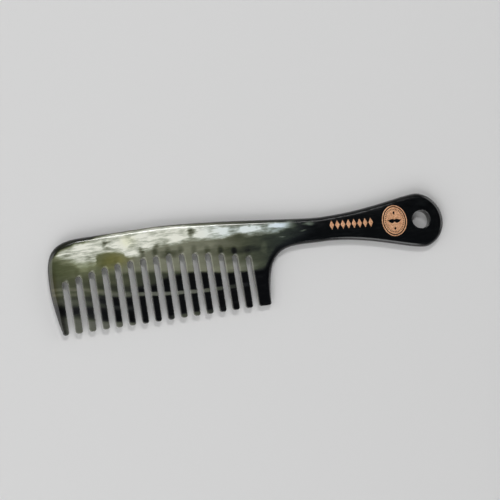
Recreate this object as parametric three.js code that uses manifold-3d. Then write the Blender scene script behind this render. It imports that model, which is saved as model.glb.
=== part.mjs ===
// Long-handled horn beard comb, lying flat on its back. Millimetres, +Z up.
// The origin is the middle of the footprint, on the surface that the comb rests on.
// +X points to the end of the handle and +Y to the spine, so the teeth point along -Y.
import * as THREE from 'three';
import { mergeVertices } from 'three/addons/utils/BufferGeometryUtils.js';
import Module from 'manifold-3d';

const wasm = await Module();
wasm.setup();

// Whole comb
const combLength = 190;
const combHeight = 43.5;
const plateThickness = 4.5;
const edgeRound = 0.75;
const edgeRoundSteps = 2;

// Teeth and the slots between them
const slotCount = 15;
const firstSlotX = -88;
const slotSpan = 84.75;
const slotDrift = { front: 1.95, back: 6.85 };
const slotLean = 0.25;
const slotRootRadius = 1.3;
const slotMouthHalfWidth = 1.42;
const deepestRootTop = 8;
const rootLineCurvature = 0.12;
const tipRound = 1.2;
const frontTip = { x: -90.8, lean: 17 };
const backTipX = 4.5;
const tipThickness = 2;
const toothJoinStep = 0.25;

// Handle
const handleStartX = 32;
const hangingHole = { x: 83.5, y: 8.25, radius: 4.375, segments: 24 };

// Copper foil ornament on the front of the handle
const foilThickness = 0.1;
const foilTilt = THREE.MathUtils.degToRad(-3.5);
const medallion = { x: 70, y: 9.25, halfWidth: 6.25, halfHeight: 7.5, ringWidth: 0.5, ringSpace: 0.5 };
const moustache = { halfWidth: 3.75, riseOfTips: 0.75, depth: 1.5 };
const lozengeHole = { fromCentre: 3.75, width: 1.1, height: 2 };
const lozengeRow = { x: 48.5, y: 10.6, count: 8, pitch: 2.75, width: 2.25, height: 4.4 };

const frontX = -combLength / 2;
const endX = combLength / 2;
const spineY = combHeight / 2;
const tipY = -combHeight / 2;
const midSlot = (slotCount - 1) / 2;

const horn = new THREE.MeshStandardMaterial({ color: 0x8f8f78, roughness: 0.18, metalness: 0 });
const darkHorn = new THREE.MeshStandardMaterial({ color: 0x15120f, roughness: 0.15, metalness: 0 });
const copperFoil = new THREE.MeshStandardMaterial({ color: 0xc98a6a, roughness: 0.35, metalness: 0.9 });

// The slots are cut by eye, so they drift a little from even spacing along the span.
function slotX(index) {
  const along = index / (slotCount - 1);
  const drift = along * (1 - along) * (slotDrift.front - slotDrift.back * along);
  return firstSlotX + slotSpan * along + drift;
}

const rootTop = (index) => deepestRootTop - rootLineCurvature * (index - midSlot) ** 2;
const rootCentre = (index) => rootTop(index) - slotRootRadius;

// One smooth stretch of the outline, from the last point to (x, y), pulled by two control points.
function addBezier(points, pulls, x, y, steps) {
  const start = points[points.length - 1];
  const [startPull, endPull] = pulls.map((pull) => new THREE.Vector2(...pull));
  const curve = new THREE.CubicBezierCurve(start, startPull, endPull, new THREE.Vector2(x, y));
  points.push(...curve.getPoints(steps).slice(1));
}

// An arc given in degrees; it turns clockwise where the end angle is the smaller one.
function addArc(points, x, y, radius, fromDegrees, toDegrees, steps) {
  const from = THREE.MathUtils.degToRad(fromDegrees);
  const to = THREE.MathUtils.degToRad(toDegrees);
  const arc = new THREE.EllipseCurve(x, y, radius, radius, from, to, to < from, 0);
  points.push(...arc.getPoints(steps));
}

// Front guard tooth, spine, handle and back guard tooth, going round clockwise.
function addBody(points) {
  addArc(points, frontTip.x, tipY + tipRound, tipRound, -90, -180 - frontTip.lean, 4);
  addBezier(points, [[frontX + 1.75, -16.5], [frontX, -4]], frontX, 0, 4);
  addBezier(points, [[frontX, 11], [frontX, 20.5]], -80, 21, 10);
  addBezier(points, [[-70, 21.25], [-53, spineY]], -43.5, spineY, 4);
  addBezier(points, [[-20.5, spineY], [24, 16]], 33, 16, 8);
  addBezier(points, [[59, 16], [75, 21.25]], 83, 21.25, 6);
  addBezier(points, [[88, 21.25], [endX, 15.5]], endX, 7.5, 7);
  addBezier(points, [[endX, -0.5], [88, -5]], 84, -5, 7);
  addBezier(points, [[76, -5], [56, 4.25]], 34, 4.25, 8);
  addBezier(points, [[20.5, 4.25], [13, 6]], 8, -3, 8);
  addBezier(points, [[6.25, -6], [backTipX, -15.5]], backTipX, tipY + tipRound, 4);
  addArc(points, backTipX - tipRound, tipY + tipRound, tipRound, 0, -90, 3);
}

// From the tip of the tooth on a slot's handle side, round the slot's root, to the tip on its front side.
function addSlot(points, index) {
  const x = slotX(index);
  const mouthX = x + slotLean;
  const tipCentreY = tipY + tipRound;
  const tipOffset = slotMouthHalfWidth + tipRound;
  addArc(points, mouthX + tipOffset, tipCentreY, tipRound, -90, -180, 3);
  addArc(points, x, rootCentre(index), slotRootRadius, 0, 180, 6);
  addArc(points, mouthX - tipOffset, tipCentreY, tipRound, 0, -90, 3);
}

function combOutline() {
  const points = [];
  addBody(points);
  for (let index = slotCount - 1; index >= 0; index -= 1) {
    addSlot(points, index);
  }
  const shape = new THREE.Shape(points.filter((point, i) => i === 0 || !point.equals(points[i - 1])));
  const hole = new THREE.Path();
  hole.absarc(hangingHole.x, hangingHole.y, hangingHole.radius, 0, 2 * Math.PI, false);
  shape.holes.push(hole);
  return shape;
}

function toManifold(geometry) {
  geometry.deleteAttribute('normal');
  geometry.deleteAttribute('uv');
  const merged = mergeVertices(geometry, 1e-4);
  const mesh = new wasm.Mesh({
    numProp: 3,
    vertProperties: merged.attributes.position.array,
    triVerts: new Uint32Array(merged.index.array),
  });
  return new wasm.Manifold(mesh);
}

function toGeometry(solid) {
  const mesh = solid.getMesh();
  const geometry = new THREE.BufferGeometry();
  geometry.setAttribute('position', new THREE.BufferAttribute(mesh.vertProperties, 3));
  geometry.setIndex(new THREE.BufferAttribute(mesh.triVerts, 1));
  return geometry;
}

// The whole comb as one slab with rounded edges, before it is divided into its working regions.
function combSlab() {
  const geometry = new THREE.ExtrudeGeometry(combOutline(), {
    depth: plateThickness - 2 * edgeRound,
    curveSegments: hangingHole.segments / 2,
    bevelThickness: edgeRound,
    bevelSize: edgeRound,
    bevelOffset: -edgeRound,
    bevelSegments: edgeRoundSteps,
  });
  geometry.translate(0, 0, edgeRound);
  return toManifold(geometry);
}

// A block that takes in everything between two X planes and below a Y plane.
function block(fromX, toX, topY) {
  const height = topY - 2 * tipY;
  const geometry = new THREE.BoxGeometry(toX - fromX, height, 4 * plateThickness);
  geometry.translate((fromX + toX) / 2, topY - height / 2, 0);
  return toManifold(geometry);
}

// A tooth joins the head at the lower of the root centres beside it, so its sides are straight.
function toothTop(slotBefore, slotAfter) {
  const lower = Math.min(rootCentre(slotBefore), rootCentre(slotAfter));
  return Math.floor(lower / toothJoinStep) * toothJoinStep;
}

// Teeth get thinner from the head to their tips, evenly on both faces.
function thinTowardsTip(geometry, topY) {
  const position = geometry.attributes.position;
  const middle = plateThickness / 2;
  const tipShare = tipThickness / plateThickness;
  for (let i = 0; i < position.count; i += 1) {
    const down = (topY - position.getY(i)) / (topY - tipY);
    const share = THREE.MathUtils.lerp(1, tipShare, down);
    position.setZ(i, middle + (position.getZ(i) - middle) * share);
  }
}

function part(name, geometry, material) {
  const mesh = new THREE.Mesh(geometry, material);
  mesh.name = name;
  return mesh;
}

// Every tooth with the X planes that it lies between and the Y plane where it joins the head.
function toothPlan() {
  const last = slotCount - 1;
  const plan = [{ name: 'guard_tooth_front', fromX: frontX - 1, toX: slotX(0), topY: toothTop(0, 0) }];
  for (let index = 0; index < last; index += 1) {
    const number = String(index + 1).padStart(2, '0');
    plan.push({
      name: `tooth_${number}`,
      fromX: slotX(index),
      toX: slotX(index + 1),
      topY: toothTop(index, index + 1),
    });
  }
  plan.push({ name: 'guard_tooth_back', fromX: slotX(last), toX: 20, topY: toothTop(last, last) });
  return plan;
}

function hornParts() {
  const slab = combSlab();
  const parts = [];
  let head = slab.intersect(block(frontX - 1, handleStartX, 2 * spineY));
  for (const tooth of toothPlan()) {
    const region = block(tooth.fromX, tooth.toX, tooth.topY);
    const geometry = toGeometry(slab.intersect(region));
    thinTowardsTip(geometry, tooth.topY);
    parts.push(part(tooth.name, geometry, horn));
    head = head.subtract(region);
  }
  const handle = slab.intersect(block(handleStartX, endX + 1, 2 * spineY));
  parts.push(part('head_plate', toGeometry(head), horn));
  parts.push(part('handle', toGeometry(handle), darkHorn));
  return parts;
}

function foilPart(name, shape, segments) {
  const geometry = new THREE.ExtrudeGeometry(shape, {
    depth: foilThickness,
    curveSegments: segments,
    bevelEnabled: false,
  });
  return part(name, geometry, copperFoil);
}

// An ellipse round the medallion's centre, a given distance inside its outer edge.
function ellipse(curve, inset, clockwise) {
  const { halfWidth, halfHeight } = medallion;
  curve.absellipse(0, 0, halfWidth - inset, halfHeight - inset, 0, 2 * Math.PI, clockwise, 0);
  return curve;
}

function addLozenge(curve, y, width, height) {
  curve.moveTo(-width / 2, y);
  curve.lineTo(0, y - height / 2);
  curve.lineTo(width / 2, y);
  curve.lineTo(0, y + height / 2);
  return curve;
}

// A curled moustache, going round from the left tip along the underside.
function moustachePath() {
  const { halfWidth, riseOfTips, depth } = moustache;
  const path = new THREE.Path();
  path.moveTo(-halfWidth, riseOfTips);
  path.bezierCurveTo(-0.6 * halfWidth, -depth, -0.15 * halfWidth, -depth, 0, -0.3 * depth);
  path.bezierCurveTo(0.15 * halfWidth, -depth, 0.6 * halfWidth, -depth, halfWidth, riseOfTips);
  path.bezierCurveTo(0.65 * halfWidth, -0.2 * depth, 0.35 * halfWidth, 1.1 * depth, 0, 0.3 * depth);
  path.bezierCurveTo(-0.35 * halfWidth, 1.1 * depth, -0.65 * halfWidth, -0.2 * depth, -halfWidth, riseOfTips);
  return path;
}

// A thin oval ring round an oval disc; the disc has a moustache and two lozenges cut out of it.
function medallionParts() {
  const { ringWidth, ringSpace } = medallion;
  const ring = ellipse(new THREE.Shape(), 0, false);
  ring.holes.push(ellipse(new THREE.Path(), ringWidth, true));
  const disc = ellipse(new THREE.Shape(), ringWidth + ringSpace, false);
  disc.holes.push(moustachePath());
  for (const y of [-lozengeHole.fromCentre, lozengeHole.fromCentre]) {
    disc.holes.push(addLozenge(new THREE.Path(), y, lozengeHole.width, lozengeHole.height));
  }
  const group = new THREE.Group();
  group.position.set(medallion.x, medallion.y, plateThickness);
  group.rotation.z = foilTilt;
  group.add(foilPart('foil_ring', ring, 16));
  group.add(foilPart('foil_disc', disc, 12));
  return group;
}

function lozengeParts() {
  const { width, height, count, pitch } = lozengeRow;
  const group = new THREE.Group();
  group.position.set(lozengeRow.x, lozengeRow.y, plateThickness);
  group.rotation.z = foilTilt;
  for (let index = 0; index < count; index += 1) {
    const shape = addLozenge(new THREE.Shape(), 0, width, height);
    const lozenge = foilPart(`foil_lozenge_${index + 1}`, shape, 1);
    lozenge.position.x = (index - (count - 1) / 2) * pitch;
    group.add(lozenge);
  }
  return group;
}

const comb = new THREE.Group();
comb.add(...hornParts());
comb.add(lozengeParts());
comb.add(medallionParts());

export default comb;
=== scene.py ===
"""Looks of a long-handled horn beard comb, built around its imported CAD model.

The drawing of the comb is in millimetres, in the CAD's own frame: +X points to the end of the handle,
+Y to the spine and +Z out of the decorated face. Everything in Blender is in metres.
"""

import math
from functools import partial

import bpy
import bmesh
import numpy as np
from mathutils import Matrix, Vector
from mathutils.geometry import delaunay_2d_cdt


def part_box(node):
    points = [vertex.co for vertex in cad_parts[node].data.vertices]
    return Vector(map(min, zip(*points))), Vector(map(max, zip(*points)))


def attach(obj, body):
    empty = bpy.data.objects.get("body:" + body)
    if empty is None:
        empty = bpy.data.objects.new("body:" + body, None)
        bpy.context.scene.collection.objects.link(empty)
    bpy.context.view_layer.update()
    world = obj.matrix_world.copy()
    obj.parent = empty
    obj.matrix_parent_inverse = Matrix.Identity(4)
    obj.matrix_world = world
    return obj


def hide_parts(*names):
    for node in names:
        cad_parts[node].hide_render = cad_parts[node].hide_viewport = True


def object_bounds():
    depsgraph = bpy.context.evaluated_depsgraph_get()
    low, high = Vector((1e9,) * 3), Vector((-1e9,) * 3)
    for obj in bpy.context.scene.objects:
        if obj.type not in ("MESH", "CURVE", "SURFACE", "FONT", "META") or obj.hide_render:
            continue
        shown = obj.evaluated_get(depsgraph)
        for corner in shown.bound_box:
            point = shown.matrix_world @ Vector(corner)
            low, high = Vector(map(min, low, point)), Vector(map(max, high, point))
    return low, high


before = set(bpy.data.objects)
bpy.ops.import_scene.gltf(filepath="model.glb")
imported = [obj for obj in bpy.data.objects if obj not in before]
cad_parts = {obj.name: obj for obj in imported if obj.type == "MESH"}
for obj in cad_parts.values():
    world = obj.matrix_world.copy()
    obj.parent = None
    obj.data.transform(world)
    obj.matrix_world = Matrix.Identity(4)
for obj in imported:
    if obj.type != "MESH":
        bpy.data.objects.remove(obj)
cad_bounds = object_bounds()

MM = 0.001

# The camera, at the photo's viewing angle; its places are in metres, its lens and sensor in millimetres
CAMERA_PLACE = (-0.0950, -0.0436, 0.4629)
CAMERA_AIM = (-0.0021, 0.0048, 0.0045)
CAMERA_UP = (0.1352, 0.9821, 0.1312)
LENS, SENSOR_WIDTH = 72.8, 36

# The comb's box and regions, from the frame, in millimetres
FRONT_X, TIP_Y = cad_bounds[0].x / MM, cad_bounds[0].y / MM
END_X, SPINE_Y = cad_bounds[1].x / MM, cad_bounds[1].y / MM
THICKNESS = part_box("handle")[1].z / MM
MID_Z = THICKNESS / 2
HANDLE_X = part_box("handle")[0].x / MM
TEETH = ["guard_tooth_front"] + [f"tooth_{i:02d}" for i in range(1, 15)] + ["guard_tooth_back"]

# Teeth and slots
SLOT_ROOT_RADIUS = 1.3
SLOT_X = [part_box(tooth)[0].x / MM - SLOT_ROOT_RADIUS for tooth in TEETH[1:]]
SLOT_PITCH = (SLOT_X[-1] - SLOT_X[0]) / (len(SLOT_X) - 1)
SLOT_LEAN = 0.25
SLOT_MOUTH_HALF = 1.42
DEEPEST_ROOT_TOP = 8.0
ROOT_LINE_CURVATURE = 0.12
TIP_ROUND = 1.2
FRONT_TIP_X, FRONT_TIP_LEAN = -90.8, 17
BACK_TIP_X = 4.5
TIP_HALF_THICKNESS = 1.0
TAPER_START, TAPER_POWER = 2.5, 1.25
TAPER_END_X = BACK_TIP_X + 8

# Rounding of the edges: how far it reaches in from the outline and down from the face
OUTER_ROUND, OUTER_ROUND_DEPTH = 2.2, 1.9
SLOT_ROUND, SLOT_ROUND_DEPTH = 0.5, 0.6
GUARD_ROUND_RISE = 14.0
ROUND_BLUR = 4
ROUND_LIMIT = 0.85
ROUND_ANGLES = (0, 14, 30, 46, 60, 75, 90)

# Shape of the polished faces: they fall a little towards the outline and around the slot roots
CROWN_DROP, CROWN_REACH = 0.45, 8.0
RELIEF_DEPTH, RELIEF_HALF_WIDTH, RELIEF_LENGTH = 0.4, 1.2, 3.4
UNDULATION = 0.03

# Hanging hole
HOLE_X, HOLE_Y, HOLE_RADIUS, HOLE_ROUND = 83.5, 8.25, 4.375, 0.45

# Spacing of mesh points, the finely meshed oval around each slot root, and the least gap to a border
OUTLINE_STEP, WALL_STEP, FACE_STEP, FINE_STEP = 0.7, 1.2, 1.1, 0.5
FINE_RISE, FINE_REACH = 1.5, (2.4, 3.2)
BORDER_GAP = 0.45 * FINE_STEP

# How far past its own region a piece reaches before its cut, and how close (in metres) two points of a
# cut have to be to count as one
CUT_MARGIN = 2.0
SAME_PLACE = 1e-8

# Foil ornament
FOIL_TOP, FOIL_SUNK, FOIL_EDGE, FOIL_STEP = 0.035, 0.06, 0.05, 0.45
FOIL_TILT = math.radians(-3.5)
MEDALLION = (70.0, 9.25)
MEDALLION_HALF = (6.25, 7.5)
RING_WIDTH = RING_SPACE = 0.5
MOUSTACHE_HALF, MOUSTACHE_RISE, MOUSTACHE_DEPTH = 3.75, 0.75, 1.5
LOZENGE_HOLE_Y, LOZENGE_HOLE = 3.75, (1.1, 2.0)
BEAD_COUNT = 36
LOZENGE_ROW, LOZENGE_COUNT, LOZENGE_PITCH, LOZENGE = (48.5, 10.6), 8, 2.75, (2.25, 4.4)


# ---------------------------------------------------------------- camera

def make_camera():
    data = bpy.data.cameras.new("camera")
    data.sensor_width = SENSOR_WIDTH
    data.lens = LENS
    data.clip_start, data.clip_end = 0.02, 20
    camera = place_object("camera", data)
    place = Vector(CAMERA_PLACE)
    back = (place - Vector(CAMERA_AIM)).normalized()
    right = Vector(CAMERA_UP).cross(back).normalized()
    up = back.cross(right)
    camera.matrix_world = Matrix.Translation(place) @ Matrix((right, up, back)).transposed().to_4x4()
    bpy.context.scene.camera = camera


# ---------------------------------------------------------------- drawing in the plane of the comb

def bezier(start, pull_a, pull_b, end, step):
    """Points of a cubic curve after its start, about one step apart."""
    a, b, c, d = (np.array(p, float) for p in (start, pull_a, pull_b, end))
    rough = np.linalg.norm(b - a) + np.linalg.norm(c - b) + np.linalg.norm(d - c)
    count = max(2, round(rough / step))
    t = np.linspace(0, 1, count + 1)[1:, None]
    return (1 - t) ** 3 * a + 3 * t * (1 - t) ** 2 * b + 3 * t ** 2 * (1 - t) * c + t ** 3 * d


def arc(x, y, radius_x, radius_y, from_degrees, to_degrees, step):
    """Points of an oval arc around (x, y), both ends included."""
    sweep = math.radians(abs(to_degrees - from_degrees))
    count = max(3, round(sweep * max(radius_x, radius_y) / step))
    angles = np.radians(np.linspace(from_degrees, to_degrees, count + 1))
    return np.stack([x + radius_x * np.cos(angles), y + radius_y * np.sin(angles)], 1)


def straight(start, end, step):
    """Points of a straight stretch, without its two ends."""
    start, end = np.array(start, float), np.array(end, float)
    count = max(1, round(np.linalg.norm(end - start) / step))
    t = np.linspace(0, 1, count + 1)[1:-1, None]
    return start + t * (end - start)


def root_top(index):
    """Height that a slot reaches; the roots of the slots lie on an arch."""
    return DEEPEST_ROOT_TOP - ROOT_LINE_CURVATURE * (index - (len(SLOT_X) - 1) / 2) ** 2


def body_outline():
    """Front guard tooth, spine, handle and back guard tooth, going round clockwise."""
    tip = TIP_Y + TIP_ROUND
    points = [arc(FRONT_TIP_X, tip, TIP_ROUND, TIP_ROUND, -90, -180 - FRONT_TIP_LEAN, FINE_STEP / 2)]
    stretches = [
        ((FRONT_X + 1.75, -16.5), (FRONT_X, -4), (FRONT_X, 0)),
        ((FRONT_X, 11), (FRONT_X, 20.5), (-80, 21)),
        ((-70, 21.25), (-53, SPINE_Y), (-43.5, SPINE_Y)),
        ((-20.5, SPINE_Y), (24, 16), (33, 16)),
        ((59, 16), (75, 21.25), (83, 21.25)),
        ((88, 21.25), (END_X, 15.5), (END_X, 7.5)),
        ((END_X, -0.5), (88, -5), (84, -5)),
        ((76, -5), (56, 4.25), (34, 4.25)),
        ((20.5, 4.25), (13, 6), (8, -3)),
        ((6.25, -6), (BACK_TIP_X, -15.5), (BACK_TIP_X, tip)),
    ]
    for pull_a, pull_b, end in stretches:
        points.append(bezier(points[-1][-1], pull_a, pull_b, end, OUTLINE_STEP))
    points.append(arc(BACK_TIP_X - TIP_ROUND, tip, TIP_ROUND, TIP_ROUND, 0, -90, FINE_STEP / 2)[1:])
    return np.concatenate(points)


def slot_outline(index):
    """One slot, from the tip of the tooth on its handle side to the tip on its front side."""
    tip = TIP_Y + TIP_ROUND
    offset = SLOT_MOUTH_HALF + TIP_ROUND
    mouth = SLOT_X[index] + SLOT_LEAN
    centre = root_top(index) - SLOT_ROOT_RADIUS
    first = arc(mouth + offset, tip, TIP_ROUND, TIP_ROUND, -90, -180, FINE_STEP / 2)
    root = arc(SLOT_X[index], centre, SLOT_ROOT_RADIUS, SLOT_ROOT_RADIUS, 0, 180, FINE_STEP / 2)
    last = arc(mouth - offset, tip, TIP_ROUND, TIP_ROUND, 0, -90, FINE_STEP / 2)
    up = straight(first[-1], root[0], WALL_STEP)
    down = straight(root[-1], last[0], WALL_STEP)
    return np.concatenate([first, up, root, down, last])


def blurred(values, reach):
    """A closed run of values, averaged with its neighbours."""
    weights = np.exp(-0.5 * (np.arange(-2 * reach, 2 * reach + 1) / reach) ** 2)
    shifted = [np.roll(values, k) * w for k, w in zip(range(-2 * reach, 2 * reach + 1), weights)]
    return sum(shifted) / weights.sum()


def inward(loop):
    """Unit directions into the horn, which lies to the right of each loop."""
    ahead = np.roll(loop, -1, 0) - loop
    ahead /= np.linalg.norm(ahead, axis=1)[:, None]
    along = ahead + np.roll(ahead, 1, 0)
    along /= np.linalg.norm(along, axis=1)[:, None]
    return np.stack([along[:, 1], -along[:, 0]], 1)


def comb_loops():
    """The body's own outline, and the whole outline and the hole, each as
    (points, reach of the rounding, depth of the rounding)."""
    body = body_outline()
    slots = np.concatenate([slot_outline(index) for index in reversed(range(len(SLOT_X)))])
    outline = np.concatenate([body, slots])
    rise = np.clip((body[:, 1] - TIP_Y) / GUARD_ROUND_RISE, 0, 1)
    share = np.concatenate([rise * rise * (3 - 2 * rise), np.zeros(len(slots))])
    share = blurred(share, ROUND_BLUR)
    reach = SLOT_ROUND + (OUTER_ROUND - SLOT_ROUND) * share
    depth = SLOT_ROUND_DEPTH + (OUTER_ROUND_DEPTH - SLOT_ROUND_DEPTH) * share
    hole = arc(HOLE_X, HOLE_Y, HOLE_RADIUS, HOLE_RADIUS, 0, 360, FINE_STEP)[:-1]
    level = np.full(len(hole), HOLE_ROUND)
    return body, [(outline, reach, depth), (hole, level, level)]


def inside(points, loop):
    """Which points lie inside a closed loop."""
    x, y = points[:, 0, None], points[:, 1, None]
    ax, ay = loop[:, 0], loop[:, 1]
    bx, by = np.roll(ax, -1), np.roll(ay, -1)
    crosses = (ay > y) != (by > y)
    rise = np.where(by == ay, 1, by - ay)
    left = x < (bx - ax) * (y - ay) / rise + ax
    return (crosses & left).sum(1) % 2 == 1


def distance_to(points, others):
    """How far each point is from the nearest of the others."""
    nearest = np.full(len(points), 1e9)
    for chunk in np.array_split(others, max(1, len(others) // 200)):
        gaps = points[:, None] - chunk[None]
        nearest = np.minimum(nearest, np.sqrt((gaps ** 2).sum(2)).min(1))
    return nearest


BODY_OUTLINE, COMB_LOOPS = comb_loops()


def half_thickness(points):
    """Half the thickness of the comb at places away from the rounded edges."""
    x, y = points[:, 0], points[:, 1]
    crown = np.clip(1 - distance_to(points, BODY_OUTLINE) / CROWN_REACH, 0, 1)
    half = MID_Z - CROWN_DROP * crown ** 2
    start = root_top((x - SLOT_X[0]) / SLOT_PITCH) + TAPER_START
    down = np.clip((start - y) / (start - TIP_Y), 0, 1) * (x < TAPER_END_X)
    half -= (MID_Z - TIP_HALF_THICKNESS) * down ** TAPER_POWER
    for index, slot_x in enumerate(SLOT_X):
        beyond = (y - root_top(index)) / RELIEF_LENGTH
        fade = np.where(beyond < 0, np.exp(-(3 * beyond) ** 2), np.clip(1 - beyond, 0, 1) ** 2)
        half -= RELIEF_DEPTH * fade * np.exp(-(((x - slot_x) / RELIEF_HALF_WIDTH) ** 2))
    waves = np.sin(0.21 * x + 0.5) * np.sin(0.33 * y + 1.1) + 0.6 * np.sin(0.08 * x - 0.13 * y)
    return half - UNDULATION * (1.6 + waves)


# ---------------------------------------------------------------- meshes

def grid_points(low, high, step):
    xs, ys = np.arange(low[0], high[0], step), np.arange(low[1], high[1], step)
    return np.stack(np.meshgrid(xs, ys), -1).reshape(-1, 2)


def between(points, loops):
    """Which points lie inside the first loop and outside the others."""
    keep = inside(points, loops[0])
    for hole in loops[1:]:
        keep &= ~inside(points, hole)
    return keep


def fill(loops, step, fine_places=()):
    """Triangles that fill the first loop around the others. Returns the points and the triangles;
    the loops' own points come first, in order."""
    grids = [grid_points(loops[0].min(0), loops[0].max(0), step)]
    for place in fine_places:
        grids.append(grid_points(np.subtract(place, FINE_REACH), np.add(place, FINE_REACH), FINE_STEP))
    grid = np.concatenate(grids)
    grid = grid[between(grid, loops)]
    border = np.concatenate(loops)
    grid = grid[distance_to(grid, border) > BORDER_GAP]
    points = np.concatenate([border, grid])
    edges, first = [], 0
    for loop in loops:
        count = len(loop)
        edges += [(first + i, first + (i + 1) % count) for i in range(count)]
        first += count
    made = delaunay_2d_cdt([Vector(p) for p in points], edges, [], 0, 1e-6)
    index = [sources[0] for sources in made[3]]
    triangles = np.array([[index[i] for i in face] for face in made[2]])
    return points, triangles[between(points[triangles].mean(1), loops)]


def place_object(name, data):
    made = bpy.data.objects.new(name, data)
    bpy.context.scene.collection.objects.link(made)
    return made


def make_object(name, vertices, faces, material):
    """A smooth object from points in millimetres."""
    mesh = bpy.data.meshes.new(name)
    mesh.from_pydata((np.asarray(vertices) * MM).tolist(), [], [list(map(int, f)) for f in faces])
    shaped = bmesh.new()
    shaped.from_mesh(mesh)
    bmesh.ops.recalc_face_normals(shaped, faces=shaped.faces)
    shaped.to_mesh(mesh)
    shaped.free()
    mesh.shade_smooth()
    mesh.materials.append(material)
    return place_object(name, mesh)


def strip(first, second, count):
    """Quads between two closed rings of points, given the index that each ring starts at."""
    pairs = [(i, (i + 1) % count) for i in range(count)]
    return [(first + i, first + after, second + after, second + i) for i, after in pairs]


def rounded_rings(loop, reach, depth):
    """Rings of (points, height above the middle) from the middle of the edge up to the face."""
    normal = inward(loop)
    rings = [(loop, np.zeros(len(loop)))]
    for angle in np.radians(ROUND_ANGLES):
        ring = loop + normal * (reach * (1 - math.cos(angle)))[:, None]
        face = half_thickness(ring)
        drop = np.minimum(depth, ROUND_LIMIT * face) * (1 - math.sin(angle))
        rings.append((ring, face - drop))
    return rings


def filled_numbers(loops, starts, total, placed):
    """Vertex numbers of a fill's points: the loops' vertices are there already, each from its own start,
    and the other points follow what is placed."""
    border = sum(len(loop) for loop in loops)
    numbers = np.empty(total, int)
    numbers[:border] = np.concatenate([start + np.arange(len(loop)) for loop, start in zip(loops, starts)])
    numbers[border:] = placed + np.arange(total - border)
    return numbers


def comb_mesh():
    """The whole piece of horn: rounded edges as rings along the outline, and a filled face on each side."""
    vertices, faces, inner_loops, inner_starts = [], [], [], []
    placed = 0
    for loop, reach, depth in COMB_LOOPS:
        count = len(loop)
        starts = {1: [], -1: []}
        for number, (ring, height) in enumerate(rounded_rings(loop, reach, depth)):
            for side in (1, -1):
                if number == 0 and side == -1:
                    starts[side].append(starts[1][0])
                    continue
                vertices.append(np.column_stack([ring, MID_Z + side * height]))
                starts[side].append(placed)
                placed += count
        for side in (1, -1):
            for outer, inner in zip(starts[side][:-1], starts[side][1:]):
                faces += strip(outer, inner, count)
        inner_loops.append(ring)
        inner_starts.append({side: starts[side][-1] for side in (1, -1)})
    near_roots = [(x, root_top(index) + FINE_RISE) for index, x in enumerate(SLOT_X)]
    points, triangles = fill(inner_loops, FACE_STEP, near_roots)
    extra = points[sum(len(loop) for loop in inner_loops):]
    height = half_thickness(extra)
    for side in (1, -1):
        numbers = filled_numbers(inner_loops, [starts[side] for starts in inner_starts], len(points), placed)
        vertices.append(np.column_stack([extra, MID_Z + side * height]))
        placed += len(extra)
        faces += numbers[triangles].tolist()
    return np.concatenate(vertices), faces


def tooth_regions():
    """Each tooth as (from x, to x, a place on the line where it joins the head, that line's slope)."""
    roots = [(x, root_top(index) - SLOT_ROOT_RADIUS) for index, x in enumerate(SLOT_X)]
    regions = [(FRONT_X - 1, roots[0][0], roots[0], 0)]
    for (x, y), (next_x, next_y) in zip(roots[:-1], roots[1:]):
        regions.append((x, next_x, (x, y), (next_y - y) / (next_x - x)))
    regions.append((roots[-1][0], HANDLE_X, roots[-1], 0))
    return dict(zip(TEETH, regions))


def in_region(middles, region, margin):
    """Which faces lie in a tooth's region, or up to a margin above it."""
    from_x, to_x, (x, y), slope = region
    below = middles[:, 1] < y + slope * (middles[:, 0] - x) + margin
    return (middles[:, 0] > from_x) & (middles[:, 0] < to_x) & below


def cut(shaped, faces, place, direction):
    """Cuts some faces by a plane and drops what lies beyond it. Dicts keep the edges and corners in a fixed
    order, so that each run numbers the mesh alike."""
    edges = dict.fromkeys(edge for face in faces for edge in face.edges)
    corners = dict.fromkeys(corner for face in faces for corner in face.verts)
    bmesh.ops.bisect_plane(
        shaped,
        geom=[*faces, *edges, *corners],
        dist=SAME_PLACE,
        plane_co=(*(MM * np.array(place)), 0),
        plane_no=direction,
        clear_outer=True,
    )


def closed_piece(name, vertices, faces, cuts, material):
    """A piece of the comb, cut off by planes and closed with flat, sharp-edged faces that its neighbours
    hide. Each cut is (which faces it may cut, a place on the plane, the direction of the dropped side)."""
    used = sorted({corner for face in faces for corner in face})
    renumber = {old: new for new, old in enumerate(used)}
    corners = [[renumber[corner] for corner in face] for face in faces]
    mesh = bpy.data.meshes.new(name)
    mesh.from_pydata((vertices[used] * MM).tolist(), [], corners)
    shaped = bmesh.new()
    shaped.from_mesh(mesh)
    for face in shaped.faces:
        face.smooth = True
    for wanted, place, direction in cuts:
        middles = np.array([face.calc_center_median() for face in shaped.faces]) / MM
        chosen = [face for face, take in zip(shaped.faces, wanted(middles)) if take]
        cut(shaped, chosen, place, direction)
    open_edges = [edge for edge in shaped.edges if edge.is_boundary]
    for edge in open_edges:
        edge.smooth = False
    filled = bmesh.ops.holes_fill(shaped, edges=open_edges, sides=0)["faces"]
    for face in filled:
        face.smooth = False
    bmesh.ops.triangulate(shaped, faces=filled)
    bmesh.ops.recalc_face_normals(shaped, faces=shaped.faces)
    shaped.to_mesh(mesh)
    shaped.free()
    mesh.materials.append(material)
    return place_object(name, mesh)


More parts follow.
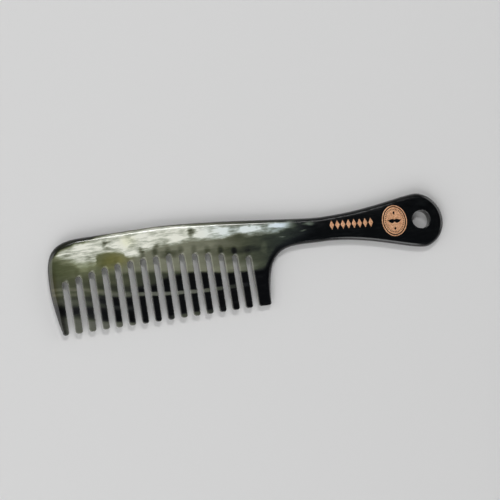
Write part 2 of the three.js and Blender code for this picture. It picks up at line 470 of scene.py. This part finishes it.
def comb_pieces(material):
    """Head, handle and teeth, cut from one mesh so that the surface runs on from piece to piece."""
    vertices, faces = comb_mesh()
    middles = np.array([vertices[list(face)].mean(0) for face in faces])
    at_neck = (HANDLE_X, 0)

    def near_neck(places):
        return np.abs(places[:, 0] - HANDLE_X) < CUT_MARGIN

    def piece(node, wanted, cuts):
        some = [face for face, take in zip(faces, wanted) if take]
        return closed_piece(f"{node}_horn", vertices, some, cuts, material)

    pieces = {}
    head_cuts = [(near_neck, at_neck, (1, 0, 0))]
    for tooth, region in tooth_regions().items():
        root, slope = region[2:]
        wanted = in_region(middles, region, CUT_MARGIN) & (middles[:, 0] < HANDLE_X)
        near_root = partial(in_region, region=region, margin=CUT_MARGIN)
        pieces[tooth] = piece(tooth, wanted, [(near_root, root, (-slope, 1, 0))])
        head_cuts.append((near_root, root, (slope, -1, 0)))
    handle_side = middles[:, 0] > HANDLE_X - CUT_MARGIN
    pieces["handle"] = piece("handle", handle_side, [(near_neck, at_neck, (-1, 0, 0))])
    head_side = middles[:, 0] < HANDLE_X + CUT_MARGIN
    pieces["head_plate"] = piece("head_plate", head_side, head_cuts)
    return pieces


def on_handle(loop, centre):
    """Turns a loop by the tilt of the ornament and moves it to its centre on the handle."""
    across, up = math.cos(FOIL_TILT), math.sin(FOIL_TILT)
    turn = np.array([[across, -up], [up, across]])
    return loop @ turn.T + np.array(centre)


def foil_patch(name, loops, material):
    """A thin patch of foil that follows the surface of the handle, with a soft edge. The foil lies to the
    right of each loop."""
    vertices, faces, inner_loops, inner_starts = [], [], [], []
    placed = 0
    for loop in loops:
        count = len(loop)
        rings = [
            (loop, -FOIL_SUNK),
            (loop, 0.4 * FOIL_TOP),
            (loop + inward(loop) * FOIL_EDGE, FOIL_TOP),
        ]
        starts = []
        for ring, height in rings:
            vertices.append(np.column_stack([ring, MID_Z + half_thickness(ring) + height]))
            starts.append(placed)
            placed += count
        for outer, inner in zip(starts[:-1], starts[1:]):
            faces += strip(outer, inner, count)
        inner_loops.append(rings[-1][0])
        inner_starts.append((starts[-1], starts[0]))
    points, triangles = fill(inner_loops, FOIL_STEP)
    extra = points[sum(len(loop) for loop in inner_loops):]
    for which, height in ((0, FOIL_TOP), (1, -FOIL_SUNK)):
        numbers = filled_numbers(inner_loops, [starts[which] for starts in inner_starts], len(points), placed)
        vertices.append(np.column_stack([extra, MID_Z + half_thickness(extra) + height]))
        placed += len(extra)
        faces += numbers[triangles].tolist()
    return make_object(name, np.concatenate(vertices), faces, material)


def oval(inset, clockwise):
    """The medallion's oval, drawn in by an inset."""
    ends = (360, 0) if clockwise else (0, 360)
    return arc(0, 0, MEDALLION_HALF[0] - inset, MEDALLION_HALF[1] - inset, *ends, FOIL_STEP)[:-1]


def lozenge(y, size, clockwise):
    """A lozenge of (width, height), with its middle at (0, y)."""
    half_x, half_y = size[0] / 2, size[1] / 2
    corners = [(-half_x, y), (0, y + half_y), (half_x, y), (0, y - half_y)]
    if not clockwise:
        corners.reverse()
    points = []
    for start, end in zip(corners, corners[1:] + corners[:1]):
        points += [np.array([start], float), straight(start, end, FOIL_STEP)]
    return np.concatenate(points)


def moustache():
    """A curled moustache, going round from the left tip along the underside, anticlockwise."""
    half, rise, depth = MOUSTACHE_HALF, MOUSTACHE_RISE, MOUSTACHE_DEPTH
    stretches = [
        ((-0.6 * half, -depth), (-0.15 * half, -depth), (0, -0.3 * depth)),
        ((0.15 * half, -depth), (0.6 * half, -depth), (half, rise)),
        ((0.65 * half, -0.2 * depth), (0.35 * half, 1.1 * depth), (0, 0.3 * depth)),
        ((-0.35 * half, 1.1 * depth), (-0.65 * half, -0.2 * depth), (-half, rise)),
    ]
    points = [np.array([(-half, rise)])]
    for pull_a, pull_b, end in stretches:
        points.append(bezier(points[-1][-1], pull_a, pull_b, end, FOIL_STEP / 2))
    return np.concatenate(points)[:-1]


# ---------------------------------------------------------------- materials

# The share of a spot's reach in which it has its full strength
SPOT_CORE = 0.15


class Graph:
    """Adds shader nodes to one new material and links them."""

    def __init__(self, name):
        self.material = bpy.data.materials.new(name)
        self.material.use_nodes = True
        self.nodes = self.material.node_tree.nodes
        self.links = self.material.node_tree.links
        self.shader = self.nodes["Principled BSDF"]

    def add(self, kind, inputs=None, **settings):
        node = self.nodes.new(kind)
        for key, value in settings.items():
            setattr(node, key, value)
        for key, value in (inputs or {}).items():
            self.feed(node.inputs[key], value)
        return node

    def feed(self, socket, value):
        if isinstance(value, bpy.types.NodeSocket):
            self.links.new(value, socket)
        else:
            socket.default_value = value

    def math(self, operation, a, b=0.0, clamp=False):
        node = self.add("ShaderNodeMath", {0: a, 1: b}, operation=operation, use_clamp=clamp)
        return node.outputs[0]

    def plus(self, a, b):
        return self.math("ADD", a, b)

    def minus(self, a, b):
        return self.math("SUBTRACT", a, b)

    def times(self, a, b):
        return self.math("MULTIPLY", a, b)

    def outside(self, share):
        """What is left of 1."""
        return self.minus(1.0, share)

    def sway(self, noise, amount):
        """Noise from 0 to 1, made to swing about 0."""
        return self.times(self.minus(noise, 0.5), amount)

    def vector(self, operation, a, b):
        return self.add("ShaderNodeVectorMath", {0: a, 1: b}, operation=operation).outputs[0]

    def split(self, vector):
        return self.add("ShaderNodeSeparateXYZ", {0: vector}).outputs

    def place_in_mm(self):
        """Where a point of the comb lies in its drawing."""
        object_place = self.add("ShaderNodeTexCoord").outputs["Object"]
        return self.vector("MULTIPLY", object_place, (1 / MM, 1 / MM, 1 / MM))

    def ramp(self, value, low, high, from_share=0.0, to_share=1.0):
        """A smooth step from one share to another as value goes from low to high."""
        node = self.add("ShaderNodeMapRange", {
            "Value": value,
            "From Min": low,
            "From Max": high,
            "To Min": from_share,
            "To Max": to_share,
        }, interpolation_type="SMOOTHSTEP")
        return node.outputs["Result"]

    def mix(self, share, a, b):
        node = self.add("ShaderNodeMix", {0: share, 6: a, 7: b}, data_type="RGBA")
        return node.outputs[2]

    def lerp(self, share, a, b):
        """A value that goes from a to b as share goes from 0 to 1."""
        node = self.add("ShaderNodeMix", {0: share, 2: a, 3: b}, data_type="FLOAT")
        return node.outputs[0]

    def tinted(self, share, colour, tint):
        """A colour multiplied by a tint, as far as share says."""
        inputs = {0: share, 6: colour, 7: (*tint, 1)}
        node = self.add("ShaderNodeMix", inputs, data_type="RGBA", blend_type="MULTIPLY")
        return node.outputs[2]

    def noise(self, point, scale, detail=4.0, roughness=0.55, stretch=(1, 1, 1), move=(0, 0, 0)):
        """Noise from 0 to 1; scale is in turns per millimetre."""
        placed = self.add("ShaderNodeMapping", {"Vector": point, "Scale": stretch, "Location": move})
        node = self.add("ShaderNodeTexNoise", {
            "Vector": placed.outputs[0], "Scale": scale, "Detail": detail, "Roughness": roughness,
        })
        return node.outputs["Fac"]

    def along(self, x, points):
        """A smooth line drawn through (x, value) points in millimetres."""
        xs, values = [p[0] for p in points], [p[1] for p in points]
        low, high = min(values) - 1, max(values) + 1
        share = self.math("DIVIDE", self.minus(x, xs[0]), xs[-1] - xs[0], clamp=True)
        node = self.add("ShaderNodeFloatCurve", {"Value": share})
        curve = node.mapping.curves[0]
        for _ in range(len(points) - 2):
            curve.points.new(0.5, 0.5)
        for point, px, value in zip(curve.points, xs, values):
            point.location = ((px - xs[0]) / (xs[-1] - xs[0]), (value - low) / (high - low))
        node.mapping.update()
        return self.plus(self.times(node.outputs[0], high - low), low)

    def spot(self, place, x, y, reach_x, reach_y):
        """A soft oval spot: 1 at its middle, 0 at its rim."""
        offset = self.vector("SUBTRACT", place, (x, y, 0))
        scaled = self.vector("MULTIPLY", offset, (1 / reach_x, 1 / reach_y, 0))
        length = self.add("ShaderNodeVectorMath", {0: scaled}, operation="LENGTH").outputs["Value"]
        return self.ramp(length, 1.0, SPOT_CORE)

    def spots(self, place, total, spots):
        """Adds spots to a value, each given as (x, y, reach in x, reach in y, strength)."""
        for x, y, reach_x, reach_y, strength in spots:
            mark = self.spot(place, x, y, reach_x, reach_y)
            total = self.plus(total, self.times(mark, strength))
        return total

    def shades(self, value, stops):
        """Colours along a value, each given as (value, red, green, blue)."""
        node = self.add("ShaderNodeValToRGB", {0: value})
        stretch = node.color_ramp.elements
        while len(stretch) < len(stops):
            stretch.new(0.5)
        for element, (position, *colour) in zip(stretch, stops):
            element.position = position / 255
            element.color = srgb(*colour)
        return node.outputs[0]


def srgb(red, green, blue):
    """A colour given as 0 to 255 display values, as the shader's linear colour."""
    def linear(value):
        share = value / 255
        return share / 12.92 if share <= 0.04045 else ((share + 0.055) / 1.055) ** 2.4

    return (linear(red), linear(green), linear(blue), 1.0)


# ---------------------------------------------------------------- the horn's pattern

# Places, and the ramps over x and y below, are in millimetres on the face of the comb. Shades are display
# values, 0 to 255. A line is drawn through (x, y) or (x, shade). Layers are (height above the stripe, shade).
# A spot is (x, y, reach in x, reach in y, change of shade).
GROUND_SHADE = [
    (-95, 52), (-91, 74), (-84, 88), (-76, 92), (-69, 98), (-60, 110), (-50, 117), (-38, 120),
    (-26, 116), (-18, 104), (-9, 84), (0, 66), (10, 54), (19, 42), (31, 15), (38, 8),
]
GROUND_SPOTS = [(-8, 5.2, 22, 2.6, -26), (-8, -2.2, 20, 3, 24)]
# Painted shade in the shallow hollows above the slot roots, given as a change of shade for each slot
ROOT_PAINTED_SHADE = [0, -8, -14, -8, -10, -16, -44, -46, -30, -28, -28, -26, -38, -44, -12]
ROOT_SHADE_RISE, ROOT_SHADE_REACH = 1.9, (2.1, 2.8)
# Spots of the ground. On the neck, the long pale band at (22, 16.3) is a painted reflection of the spine's
# edge, and the pale streaks near (13.8, 9.1), (24, 10.3), (27.6, 13.4) and (12, 12) are partly grey-blue
# streaks of the horn and partly painted reflections
NECK_SPOTS_AND_REFLECTION = [
    (13.8, 9.1, 2, 0.5, 70), (24, 10.3, 2.4, 0.5, 60), (27.6, 13.4, 4.4, 1.5, 90), (12, 12, 3.4, 0.8, 45),
    (22, 16.3, 6, 0.9, 60), (-20, 10.2, 4, 1.8, 14), (5, 5, 2, 4.5, 20), (-39.5, 8.2, 8, 2.6, -44),
    (-23, 6.8, 9, 1.8, -18), (-77, 7.2, 6, 2.6, 30), (-1, 12, 5, 1.6, 40), (12, 12, 4, 1.4, 40),
]

STRIPE = [
    (-95, -0.8), (-85, -1.9), (-78.6, -3.1), (-72.6, -4.8), (-66.6, -6.5), (-60.7, -7.5), (-54.8, -8.4),
    (-48.8, -9.1), (-42.9, -9.8), (-37, -10.2), (-31, -10.6), (-24.9, -10.9), (-18.7, -10.9), (0, -10.9),
]
STRIPE_SHADE = [(-95, 60), (-60, 84), (-50, 96), (-28, 92), (-21, 70), (-12, 46), (-5, 26), (0, 10)]
FRONT_LAYERS = [
    (-20, 80), (-15.5, 96), (-9.4, 28), (-6, 78), (-3.5, 60), (-2.2, 92), (-1.1, 76), (0, 98),
    (1.3, 74), (8, 82),
]
MIDDLE_LAYERS = [
    (-20, 8), (-8, 8), (-6.2, 36), (-4.6, 10), (-2.2, 12), (0, 92), (2.2, 46), (5, 70), (8, 74),
]
VEIL_TOP = [
    (-70, 3.2), (-60, 2.2), (-48.8, 1.4), (-42.9, 0.3), (-37, -0.5), (-31, -1.4), (-24, -2.6), (-18, -4),
]
BLACK_TOP = [
    (-66, -4), (-54.8, -4.9), (-48.8, -4.9), (-42.9, -2.7), (-37, -2), (-31, -1.9), (-24.9, -2.4),
    (-18.7, -3.4), (-12.5, -4.3), (-3, -4.9), (2, -4.9), (5, -2.4), (8, 1.5), (12, 4.6), (20, 6.6),
    (28, 8.5), (34, 12),
]
TIP_PATCH_TOP = [
    (-95, -12), (-91, -13.5), (-84.8, -15.8), (-78.6, -16.9), (-72.6, -18.2), (-66.6, -19.2),
    (-60, -20.4), (-52, -21.4),
]
VEIL_SHADES, BLACK_SHADE, TIP_SHADE, TIP_HIGHLIGHT_LIFT = (76, 54), 9.0, 92.0, 60

# The pale cloud along the spine is partly the horn's own pale marbling and partly a painted reflection of a
# bright light on the polished spine; its lines and bright spots draw both
CLOUD_LOW = [
    (-95, 14), (-88, 11.4), (-82, 9.4), (-77, 8), (-73.5, 9), (-71, 12), (-62, 12), (-57, 8.6),
    (-51, 9.6), (-44, 11.6), (-36, 12.4), (-26, 12.4), (-16, 12.1), (-7, 12.8), (1, 11.6), (12, 11.8),
    (20, 12.2), (34, 13),
]
CLOUD_HIGH = [
    (-95, 9.6), (-91, 13.6), (-86, 16.7), (-78, 18.5), (-68, 20.2), (-50, 21.8), (-32, 20.5),
    (-20, 18.7), (-8, 17.2), (2, 16.2), (16, 15.4), (34, 14.6),
]
BRIGHT_SPOTS = [
    (-78.5, 15.5, 6, 4, 50), (-61, 16, 7, 4, 55), (-55.5, 10.5, 3, 2.5, 40), (-50, 16.6, 9, 3.4, 55),
    (-36, 14.8, 6, 3.6, 70), (-22.5, 15.4, 4.5, 2.6, 70), (-14, 15.8, 5, 2.8, 55),
    (-3.4, 15.2, 3.4, 2, 70), (-1, 14.2, 7, 2.6, 80), (14, 14.4, 7, 1.8, 130),
]
DARK_SPOTS = [
    (-85, 12.2, 9, 3.6, -48), (-68, 16.9, 1.6, 2.6, -75), (-66, 14.3, 5.5, 1, -60),
    (-57, 17.5, 3, 3, -35), (-76.5, 11.5, 2, 1.6, -40), (-85, 13.8, 3, 0.8, -45), (-43, 13, 5, 2, -45),
    (-9, 15.5, 2.2, 2.4, -45), (5.5, 15, 1.6, 2, -50), (-27.7, 17.4, 2.6, 3.6, -140),
    (-28, 13.8, 3, 2, -55), (-51, 11.4, 5, 2, -60), (7, 14, 2.4, 2.6, -45), (-0.6, 15.6, 0.9, 1.6, -60),
    (2.6, 14.6, 1, 1.1, -40), (-51.7, 11, 1.8, 3, -75), (-45.5, 11.4, 2.4, 3, -80),
    (-31, 12.6, 3, 1.2, -50), (-63, 13.4, 4, 0.8, -40), (-72, 18.6, 6, 0.8, -35),
]
CLOUD_SHADE, CLOUD_RANGE, SHOULDER_PAINTED_SHADE = 201.0, (70, 240), 34

# The horn's colour at each shade, as (shade, red, green, blue)
HORN_SHADES = [
    (0, 2, 2, 3), (10, 9, 10, 10), (30, 29, 30, 28), (52, 51, 54, 44), (76, 76, 79, 62),
    (100, 101, 103, 87), (122, 122, 124, 106), (160, 158, 162, 146), (195, 196, 199, 184),
    (240, 239, 240, 228),
]
OLIVE, PATCH_BROWN, CLOUD_CREAM = (0.98, 1.03, 0.8), (1.12, 1.02, 0.6), (1.0, 1.0, 0.9)
COLD, NECK_BLUE, TIP_NEUTRAL = (0.92, 0.99, 1.1), (0.95, 1.0, 1.1), (0.97, 0.97, 1.15)
EDGE_BROWN, GUARD_DULL, RIM_PAINTED_SHADE = (0.62, 0.56, 0.4), (0.22, 0.22, 0.22), (0.28, 0.27, 0.22)
SAWN_HORN = (176, 176, 166)


class HornGraph(Graph):
    """The horn. Its pattern is drawn as one shade from 0 to 255, which is then given its colours."""

    def __init__(self):
        super().__init__("polished_horn")
        self.point = self.place_in_mm()
        self.x, self.y = self.split(self.point)[:2]

        # Noise of several grains: swirls, fibres along the horn, and fine threads
        self.swirl = self.noise(self.point, 0.22, 4, 0.55, (0.7, 1.1, 0.3))
        swirl_2 = self.noise(self.point, 0.2, 4, 0.55, (0.6, 1.2, 0.3), (17, 41, 0))
        self.fibre = self.noise(self.point, 0.5, 6, 0.6, (0.3, 1.15, 0.3), (7, 3, 0))
        self.thread = self.noise(self.point, 1.2, 4, 0.65, (0.12, 1.0, 0.3), (0, 11, 0))
        self.wander = self.sway(self.fibre, 0.9)

        # The same places, bent by the noise, so that what is drawn there swirls
        shift_x = self.sway(self.swirl, 5.0)
        shift_y = self.plus(self.sway(swirl_2, 3.0), self.sway(self.fibre, 2.2))
        shift = self.add("ShaderNodeCombineXYZ", {0: shift_x, 1: shift_y}).outputs[0]
        self.bent = self.vector("ADD", self.point, shift)
        self.bent_x, self.bent_y = self.split(self.bent)[:2]

    def below(self, line, soft_from, soft_to):
        """1 below a line that wanders a little and 0 above it, with a soft border."""
        gap = self.minus(self.plus(self.y, self.wander), self.along(self.x, line))
        return self.ramp(gap, soft_from, soft_to)

    def ground(self):
        """Olive at the front, khaki over the teeth, grey-green and then black towards the handle."""
        shade = self.along(self.bent_x, GROUND_SHADE)
        shade = self.plus(shade, self.sway(self.fibre, 42))
        dim, lit = [self.times(self.spot(self.bent, *spot[:4]), spot[4]) for spot in GROUND_SPOTS]
        shade = self.plus(shade, self.plus(dim, lit))
        # Painted shade in the hollows above the slot roots
        root_shade = []
        for index, (x, mark) in enumerate(zip(SLOT_X, ROOT_PAINTED_SHADE)):
            root_shade.append((x, root_top(index) + ROOT_SHADE_RISE, *ROOT_SHADE_REACH, mark))
        shade = self.spots(self.point, shade, root_shade)
        # Spots of the ground, with painted reflections on the neck
        return self.spots(self.bent, shade, NECK_SPOTS_AND_REFLECTION)

    def with_veil(self, shade):
        """Dims the ground where the teeth begin, before it turns black."""
        in_veil = self.times(self.below(VEIL_TOP, 1.0, -1.2), self.ramp(self.x, -20, -30))
        return self.lerp(in_veil, shade, self.ramp(self.x, -72, -56, *VEIL_SHADES))

    def with_black(self, shade):
        """The black horn of the teeth and the handle, with a softer border towards both ends."""
        gap = self.minus(self.plus(self.y, self.wander), self.along(self.x, BLACK_TOP))
        softness = self.plus(self.ramp(self.x, -60, -38, 1.8, 0.8), self.ramp(self.x, -4, 22, 0.0, 2.4))
        share = self.ramp(self.math("DIVIDE", gap, softness), 1.0, -1.0)
        black = self.plus(BLACK_SHADE, self.times(self.ramp(self.thread, 0.5, 0.75), 12))
        return self.lerp(share, shade, black)

    def with_layers(self, shade):
        """The pale stripe through all teeth, and the layers that run with it through the front teeth."""
        height = self.plus(self.minus(self.y, self.along(self.x, STRIPE)), self.wander)
        nearness = self.ramp(self.x, -64, -86)
        front = self.times(self.along(height, FRONT_LAYERS), nearness)
        middle = self.times(self.along(height, MIDDLE_LAYERS), self.outside(nearness))
        layers = self.plus(self.plus(front, middle), self.sway(self.thread, 34))
        in_layers = self.times(self.ramp(self.y, 2.4, -1.2), self.ramp(self.x, -53, -62))
        in_stripe = self.ramp(self.math("ABSOLUTE", self.minus(height, 0.1)), 1.2, 0.5)
        in_stripe = self.times(in_stripe, self.ramp(self.x, -62, -54))
        in_stripe = self.times(in_stripe, self.ramp(self.x, 0, -6))
        shade = self.lerp(in_stripe, shade, self.along(self.x, STRIPE_SHADE))
        return self.lerp(in_layers, shade, layers)

    def with_tips(self, shade):
        """Paler tips: a patch at the tips of the front teeth, and a painted highlight on the ends of the
        middle ones.
        """
        in_patch = self.times(self.below(TIP_PATCH_TOP, 0.8, -0.8), self.ramp(self.x, -50, -58))
        in_patch = self.times(in_patch, self.ramp(self.x, -96, -86))
        shade = self.lerp(in_patch, shade, self.plus(TIP_SHADE, self.sway(self.thread, 50)))
        only_x = self.add("ShaderNodeCombineXYZ", {0: self.x}).outputs[0]
        # Painted highlight on the rounded ends of the middle teeth, where they catch the light
        wear_and_highlight = self.times(self.ramp(self.y, -19.2, -20.4), self.spot(only_x, -33, 0, 17, 1))
        return self.plus(shade, self.times(wear_and_highlight, TIP_HIGHLIGHT_LIFT))

    def with_cloud_and_reflection(self, shade):
        """The pale cloud along the spine, partly the horn's own pale marbling and partly a painted reflection
        of a bright light on the polished spine, and the painted shade on the shoulder above it.
        Returns the shade and the share of cloud."""
        low_gap = self.minus(self.bent_y, self.along(self.bent_x, CLOUD_LOW))
        high_gap = self.minus(self.bent_y, self.along(self.bent_x, CLOUD_HIGH))
        low_gap = self.math("DIVIDE", low_gap, self.ramp(self.x, -70, -80, 1.0, 2.6))
        in_cloud_and_reflection = self.times(self.ramp(low_gap, -0.7, 1.3), self.ramp(high_gap, 0.9, -0.7))
        in_cloud_and_reflection = self.times(in_cloud_and_reflection, self.ramp(self.bent_x, 24, 13))
        # The cloud's shade: pale horn and painted reflection together
        pale = self.plus(CLOUD_SHADE, self.sway(self.fibre, 250))
        pale = self.plus(pale, self.sway(self.thread, 170))
        pale = self.plus(pale, self.sway(self.swirl, 90))
        pale = self.plus(pale, self.ramp(self.bent_x, -20, 6, 0.0, -28))
        pale = self.spots(self.bent, pale, BRIGHT_SPOTS)
        pale = self.spots(self.bent, pale, DARK_SPOTS)
        pale = self.math("MINIMUM", self.math("MAXIMUM", pale, CLOUD_RANGE[0]), CLOUD_RANGE[1])
        # Painted shade on the rounded shoulder above the cloud at the upper left, where the edge turns away
        # from the light
        on_shoulder = self.times(self.ramp(high_gap, 0, 1.6), self.ramp(self.x, -50, -66))
        shade = self.lerp(on_shoulder, shade, SHOULDER_PAINTED_SHADE)
        return self.lerp(in_cloud_and_reflection, shade, pale), in_cloud_and_reflection

    def coloured(self, shade, in_cloud_and_reflection):
        """The horn's colour at each shade, tinted from place to place."""
        colour = self.shades(self.math("DIVIDE", shade, 255), HORN_SHADES)
        olive = self.times(self.ramp(self.x, -52, -74), self.ramp(self.y, 0, 6))
        colour = self.tinted(self.times(olive, self.outside(in_cloud_and_reflection)), colour, OLIVE)
        patch = self.times(self.spot(self.bent, -65, 8.6, 11, 5.5), self.outside(in_cloud_and_reflection))
        colour = self.tinted(patch, colour, PATCH_BROWN)
        colour = self.tinted(self.spot(self.bent, -57.5, 17, 6, 5), colour, CLOUD_CREAM)
        cold = self.lerp(in_cloud_and_reflection, self.ramp(self.x, -14, 8), self.ramp(self.x, -32, -8))
        colour = self.tinted(cold, colour, COLD)
        colour = self.tinted(self.ramp(self.x, 2, 16), colour, NECK_BLUE)
        colour = self.tinted(self.ramp(self.y, -4, -7), colour, TIP_NEUTRAL)
        at_edge = self.times(self.ramp(self.x, -90.5, -93.5), self.ramp(self.y, 12, 3))
        colour = self.tinted(at_edge, colour, EDGE_BROWN)
        on_guard = self.times(self.ramp(self.x, -88.5, -91), self.ramp(self.y, -5, -9))
        return self.tinted(on_guard, colour, GUARD_DULL)

    def with_edges(self, colour):
        """Matt, paler sawn walls between the teeth, and painted shade on the rounded rim, darker where the
        surface turns away from the face.
        Returns the colour and the share of sawn wall."""
        normal = self.add("ShaderNodeNewGeometry").outputs["Normal"]
        flatness = self.math("ABSOLUTE", self.split(normal)[2])
        middle_x = (SLOT_X[0] + SLOT_X[-1]) / 2
        slots_away = self.math("DIVIDE", self.minus(self.x, middle_x), SLOT_PITCH)
        arch = self.math("POWER", self.math("ABSOLUTE", slots_away), 2)
        height = self.plus(self.y, self.times(arch, ROOT_LINE_CURVATURE))

        # Where the slots are: under the arch of their roots, and between the outsides of the guard teeth
        in_slots = self.ramp(height, DEEPEST_ROOT_TOP + 2.5, DEEPEST_ROOT_TOP + 1.2)
        in_slots = self.times(in_slots, self.ramp(self.x, FRONT_X + 4, FRONT_X + 4.6))
        in_slots = self.times(in_slots, self.ramp(self.x, 1.4, 0.8))
        wall = self.times(self.ramp(flatness, 0.62, 0.3), in_slots)
        colour = self.mix(self.times(wall, 0.6), colour, srgb(*SAWN_HORN))
        # Painted shade on the rounded rim outside the slots, darker as the surface turns from the face
        rim = self.times(self.ramp(flatness, 0.95, 0.7), self.outside(in_slots))
        return self.tinted(rim, colour, RIM_PAINTED_SHADE), wall

    def polish(self, wall):
        """Gloss with fine scratches and a slight ripple, and matt sawn walls."""
        scratches = self.noise(self.point, 3.0, 4, 0.7, (0.04, 1, 1))
        ripples = self.noise(self.point, 0.3, 4, 0.6)
        dull = self.ramp(ripples, 0.35, 0.7, -0.02, 0.06)
        roughness = self.plus(self.ramp(scratches, 0.4, 0.75, 0.12, 0.22), dull)
        self.feed(self.shader.inputs["Roughness"], self.plus(roughness, self.times(wall, 0.3)))
        scratched = self.add("ShaderNodeBump", {"Strength": 0.25, "Distance": 0.00003, "Height": scratches})
        rippled = self.add("ShaderNodeBump", {
            "Strength": 0.5,
            "Distance": 0.0001,
            "Height": ripples,
            "Normal": scratched.outputs[0],
        })
        self.feed(self.shader.inputs["Normal"], rippled.outputs[0])
        self.shader.inputs["IOR"].default_value = 1.54
        self.shader.inputs["Coat Weight"].default_value = 0.4
        self.shader.inputs["Coat Roughness"].default_value = 0.05


def horn_material():
    g = HornGraph()
    shade = g.with_black(g.with_veil(g.ground()))
    shade = g.with_tips(g.with_layers(shade))
    shade, in_cloud_and_reflection = g.with_cloud_and_reflection(shade)
    colour, wall = g.with_edges(g.coloured(shade, in_cloud_and_reflection))
    g.feed(g.shader.inputs["Base Color"], colour)
    g.polish(wall)
    return g.material


# ---------------------------------------------------------------- foil and floor

# Display colours, and where the ring of beads lies, as a share of the medallion's size
FOIL_BRIGHT, FOIL_DEEP = (240, 190, 150), (192, 134, 94)
FOIL_GAP, BEAD_DARK = (70, 46, 34), (24, 18, 16)
BEAD_RING, BEAD_STRENGTH = 0.73, 0.92
FLOOR_GREY = (220, 220, 220)


def bead_share(g, point):
    """A ring of beads round the rim of the medallion."""
    across, up = g.split(g.vector("SUBTRACT", point, (*MEDALLION, 0)))[:2]
    across = g.math("DIVIDE", across, MEDALLION_HALF[0])
    up = g.math("DIVIDE", up, MEDALLION_HALF[1])
    out = g.math("POWER", g.plus(g.math("POWER", across, 2), g.math("POWER", up, 2)), 0.5)
    turn = g.math("ARCTAN2", up, across)
    bead = g.ramp(g.math("SINE", g.times(turn, BEAD_COUNT)), -0.1, 0.35)
    on_ring = g.ramp(g.math("ABSOLUTE", g.minus(out, BEAD_RING)), 0.06, 0.035)
    return g.times(g.times(bead, on_ring), BEAD_STRENGTH)


def foil_material():
    g = Graph("copper_foil")
    point = g.place_in_mm()
    wear_and_highlight = g.noise(point, 1.3, 5, 0.7)
    grain = g.noise(point, 6.0, 3, 0.6)
    colour = g.mix(g.ramp(wear_and_highlight, 0.35, 0.65), srgb(*FOIL_BRIGHT), srgb(*FOIL_DEEP))
    gaps = g.ramp(g.noise(point, 2.2, 3, 0.6, (1, 1, 1), (9, 4, 2)), 0.66, 0.7)
    colour = g.mix(gaps, colour, srgb(*FOIL_GAP))
    colour = g.mix(bead_share(g, point), colour, srgb(*BEAD_DARK))
    g.feed(g.shader.inputs["Base Color"], colour)
    g.shader.inputs["Metallic"].default_value = 0.35
    g.feed(g.shader.inputs["Roughness"], g.ramp(grain, 0.3, 0.7, 0.36, 0.55))
    bump = g.add("ShaderNodeBump", {"Strength": 0.4, "Distance": 0.00002, "Height": grain})
    g.feed(g.shader.inputs["Normal"], bump.outputs[0])
    return g.material


def floor_material():
    g = Graph("pale_floor")
    g.shader.inputs["Base Color"].default_value = srgb(*FLOOR_GREY)
    g.shader.inputs["Roughness"].default_value = 0.9
    g.shader.inputs["Specular IOR Level"].default_value = 0.15
    return g.material


# ---------------------------------------------------------------- stage

# The floor, in metres, and the world's brightness from the horizon up, as (height, strength)
FLOOR_HALF, FLOOR_GAP = 3.0, 0.0003
SKY_LOW, SKY_HIGH = (0.1, 0.6), (0.6, 0.02)


def make_floor():
    corners = [(-1, -1), (1, -1), (1, 1), (-1, 1)]
    mesh = bpy.data.meshes.new("floor")
    mesh.from_pydata([(x * FLOOR_HALF, y * FLOOR_HALF, 0) for x, y in corners], [], [(0, 1, 2, 3)])
    mesh.materials.append(floor_material())
    floor = place_object("floor", mesh)
    floor.location.z = -FLOOR_GAP


def area_light(name, place, aim, size, watts):
    data = bpy.data.lights.new(name, "AREA")
    data.shape = "RECTANGLE"
    data.size, data.size_y = size
    data.energy = watts
    light = place_object(name, data)
    light.location = place
    light.rotation_euler = (Vector(aim) - Vector(place)).to_track_quat("-Z", "Y").to_euler()


def make_light():
    """Four soft lights, and a world that is pale at the horizon and dark overhead."""
    area_light("spine_light", (0.1, 0.6, 0.88), (-0.03, 0.01, 0), (0.36, 0.16), 3.2)
    area_light("left_light", (-1.2, -0.35, 0.85), (-0.03, 0, 0), (3.4, 2.0), 25)
    area_light("front_light", (-0.45, -1.3, 0.9), (0, 0, 0), (1.8, 1.0), 12)
    area_light("right_light", (1.4, 0.4, 0.7), (0, 0, 0), (1.4, 0.7), 4)
    world = bpy.data.worlds.new("studio")
    world.use_nodes = True
    tree = world.node_tree
    background = tree.nodes["Background"]
    background.inputs["Color"].default_value = (1, 1, 1, 1)
    coordinates = tree.nodes.new("ShaderNodeTexCoord")
    split = tree.nodes.new("ShaderNodeSeparateXYZ")
    height = tree.nodes.new("ShaderNodeMapRange")
    height.interpolation_type = "SMOOTHSTEP"
    height.inputs["From Min"].default_value, height.inputs["To Min"].default_value = SKY_LOW
    height.inputs["From Max"].default_value, height.inputs["To Max"].default_value = SKY_HIGH
    tree.links.new(coordinates.outputs["Generated"], split.inputs[0])
    tree.links.new(split.outputs[2], height.inputs["Value"])
    tree.links.new(height.outputs[0], background.inputs["Strength"])
    bpy.context.scene.world = world
    bpy.context.scene.view_settings.view_transform = "Standard"


# ---------------------------------------------------------------- the comb

make_camera()
make_floor()
make_light()

horn = horn_material()
foil = foil_material()

for node, piece in comb_pieces(horn).items():
    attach(piece, "root")
    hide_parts(node)

ring = [on_handle(oval(0, True), MEDALLION), on_handle(oval(RING_WIDTH, False), MEDALLION)]
disc = [on_handle(oval(RING_WIDTH + RING_SPACE, True), MEDALLION), on_handle(moustache(), MEDALLION)]
for side in (-1, 1):
    disc.append(on_handle(lozenge(side * LOZENGE_HOLE_Y, LOZENGE_HOLE, False), MEDALLION))
patches = {
    "foil_ring": ring,
    "foil_disc": disc,
}
for number in range(LOZENGE_COUNT):
    shift = (number - (LOZENGE_COUNT - 1) / 2) * LOZENGE_PITCH
    shape = lozenge(0, LOZENGE, True) + np.array([shift, 0])
    patches[f"foil_lozenge_{number + 1}"] = [on_handle(shape, LOZENGE_ROW)]
for node, loops in patches.items():
    patch = foil_patch(f"{node}_looks", loops, foil)
    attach(patch, "root")
    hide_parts(node)
